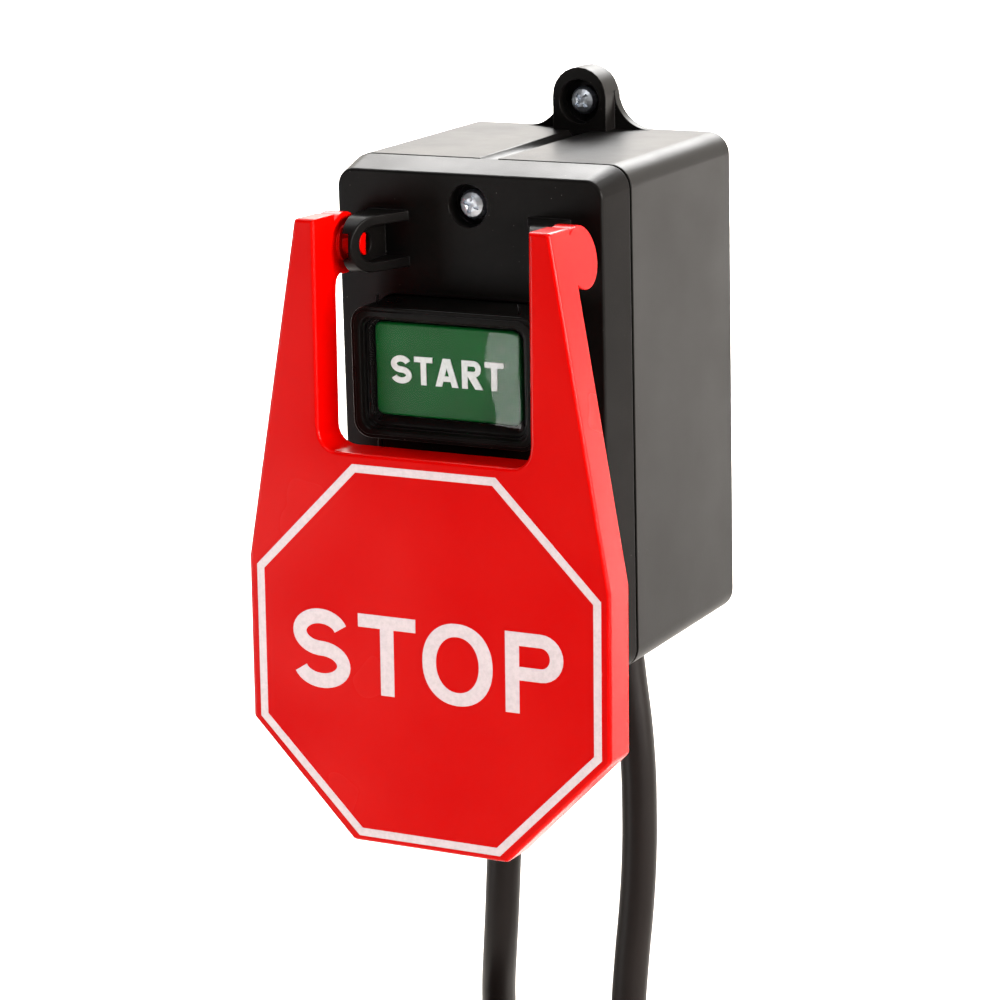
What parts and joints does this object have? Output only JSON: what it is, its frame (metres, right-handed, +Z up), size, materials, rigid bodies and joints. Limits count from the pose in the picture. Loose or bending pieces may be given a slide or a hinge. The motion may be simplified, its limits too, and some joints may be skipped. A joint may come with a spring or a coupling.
{
  "type": "magnetic motor starter",
  "caption": "Black wall-mounted machine starter with a hinged red octagonal stop paddle, a recessed green start button and two hanging supply cords.",
  "frame": {"origin": "centre of the housing's flat back face, where it meets the wall or machine", "axes": "+Y into the wall, -Y out of the front, +X to the right as seen from the front, +Z up"},
  "size_m": [0.113, 0.0997, 0.5674],
  "materials": {
    "black_plastic": "finely grained black ABS",
    "inner_plastic": "smooth dark moulding",
    "red_plastic": "smooth semi-gloss red with a printed white border and letters",
    "green_plastic": "smooth green with raised white letters",
    "white_plastic": "natural nylon",
    "clear_film": "clear, slightly wrinkled dust film",
    "zinc": "bright zinc plate",
    "spring_steel": "drawn wire",
    "core_steel": "stacked laminations",
    "brass": "stamped",
    "copper": "stamped copper",
    "enamelled_wire": "close turns of enamelled wire",
    "black_insulation": "satin wire insulation",
    "white_insulation": "satin wire insulation",
    "green_insulation": "satin wire insulation",
    "blue_vinyl": "vinyl sleeve",
    "black_cord": "smooth flexible cord jacket",
    "tie_fabric": "hook-and-loop strap"
  },
  "bodies": {
    "housing": {"rear_housing": "black_plastic", "front_cover": "black_plastic", "cover_screw_upper": "zinc", "mounting_screw_upper": "zinc", "cover_screw_lower": "zinc", "mounting_screw_lower": "zinc", "switch_bezel": "black_plastic", "start_button_film": "clear_film", "start_return_spring": "spring_steel", "stop_return_spring": "spring_steel", "switch_frame": "inner_plastic", "terminal_line_upper": "brass", "terminal_screw_line_upper": "zinc", "terminal_load_upper": "brass", "terminal_screw_load_upper": "zinc", "terminal_line_lower": "brass", "terminal_screw_line_lower": "zinc", "terminal_load_lower": "brass", "terminal_screw_load_lower": "zinc", "magnet_core": "core_steel", "coil_bobbin": "white_plastic", "coil_winding": "enamelled_wire", "stop_contact_left": "brass", "stop_contact_right": "brass", "line_wire_black": "black_insulation", "line_wire_white": "white_insulation", "line_wire_green": "green_insulation", "load_wire_black": "black_insulation", "load_wire_white": "white_insulation", "load_wire_green": "green_insulation", "ground_splice": "blue_vinyl", "line_cord_grip": "black_cord", "load_cord_grip": "black_cord", "line_cord": "black_cord", "load_cord": "black_cord", "line_cord_hank": "black_cord", "line_cord_tail": "black_cord", "line_cord_tie": "tie_fabric", "line_plug_body": "black_cord", "line_plug_blade_left": "brass", "line_plug_blade_right": "brass", "line_plug_ground_pin": "brass", "load_connector": "black_cord"},
    "paddle": {"paddle": "red_plastic"},
    "start_button": {"start_button": "green_plastic"},
    "contact_carrier": {"contact_carrier": "white_plastic", "armature": "core_steel", "moving_contact_upper": "copper", "moving_contact_lower": "copper", "contact_spring_upper": "spring_steel", "contact_spring_lower": "spring_steel"},
    "stop_button": {"stop_button": "red_plastic", "stop_contact_bridge": "copper"}
  },
  "joints": [
    {"name": "paddle_hinge", "type": "hinge", "parent": "housing", "child": "paddle", "pos_m": [0, -0.0806, 0.0438], "axis": [-1, 0, 0], "range_deg": [-3, 95]},
    {"name": "start_push", "type": "slide", "parent": "housing", "child": "start_button", "axis": [0, 1, 0], "range_m": [0, 0.003], "stiffness_N_per_m": 1200, "deforming": ["start_return_spring"]},
    {"name": "carrier_slide", "type": "slide", "parent": "housing", "child": "contact_carrier", "axis": [0, 1, 0], "range_m": [0, 0.003]},
    {"name": "stop_push", "type": "slide", "parent": "housing", "child": "stop_button", "axis": [0, 1, 0], "range_m": [0, 0.003], "stiffness_N_per_m": 1200, "deforming": ["stop_return_spring"]}
  ],
  "couplings": [
    {"joint": "carrier_slide", "follows": "start_push", "ratio": 1}
  ]
}
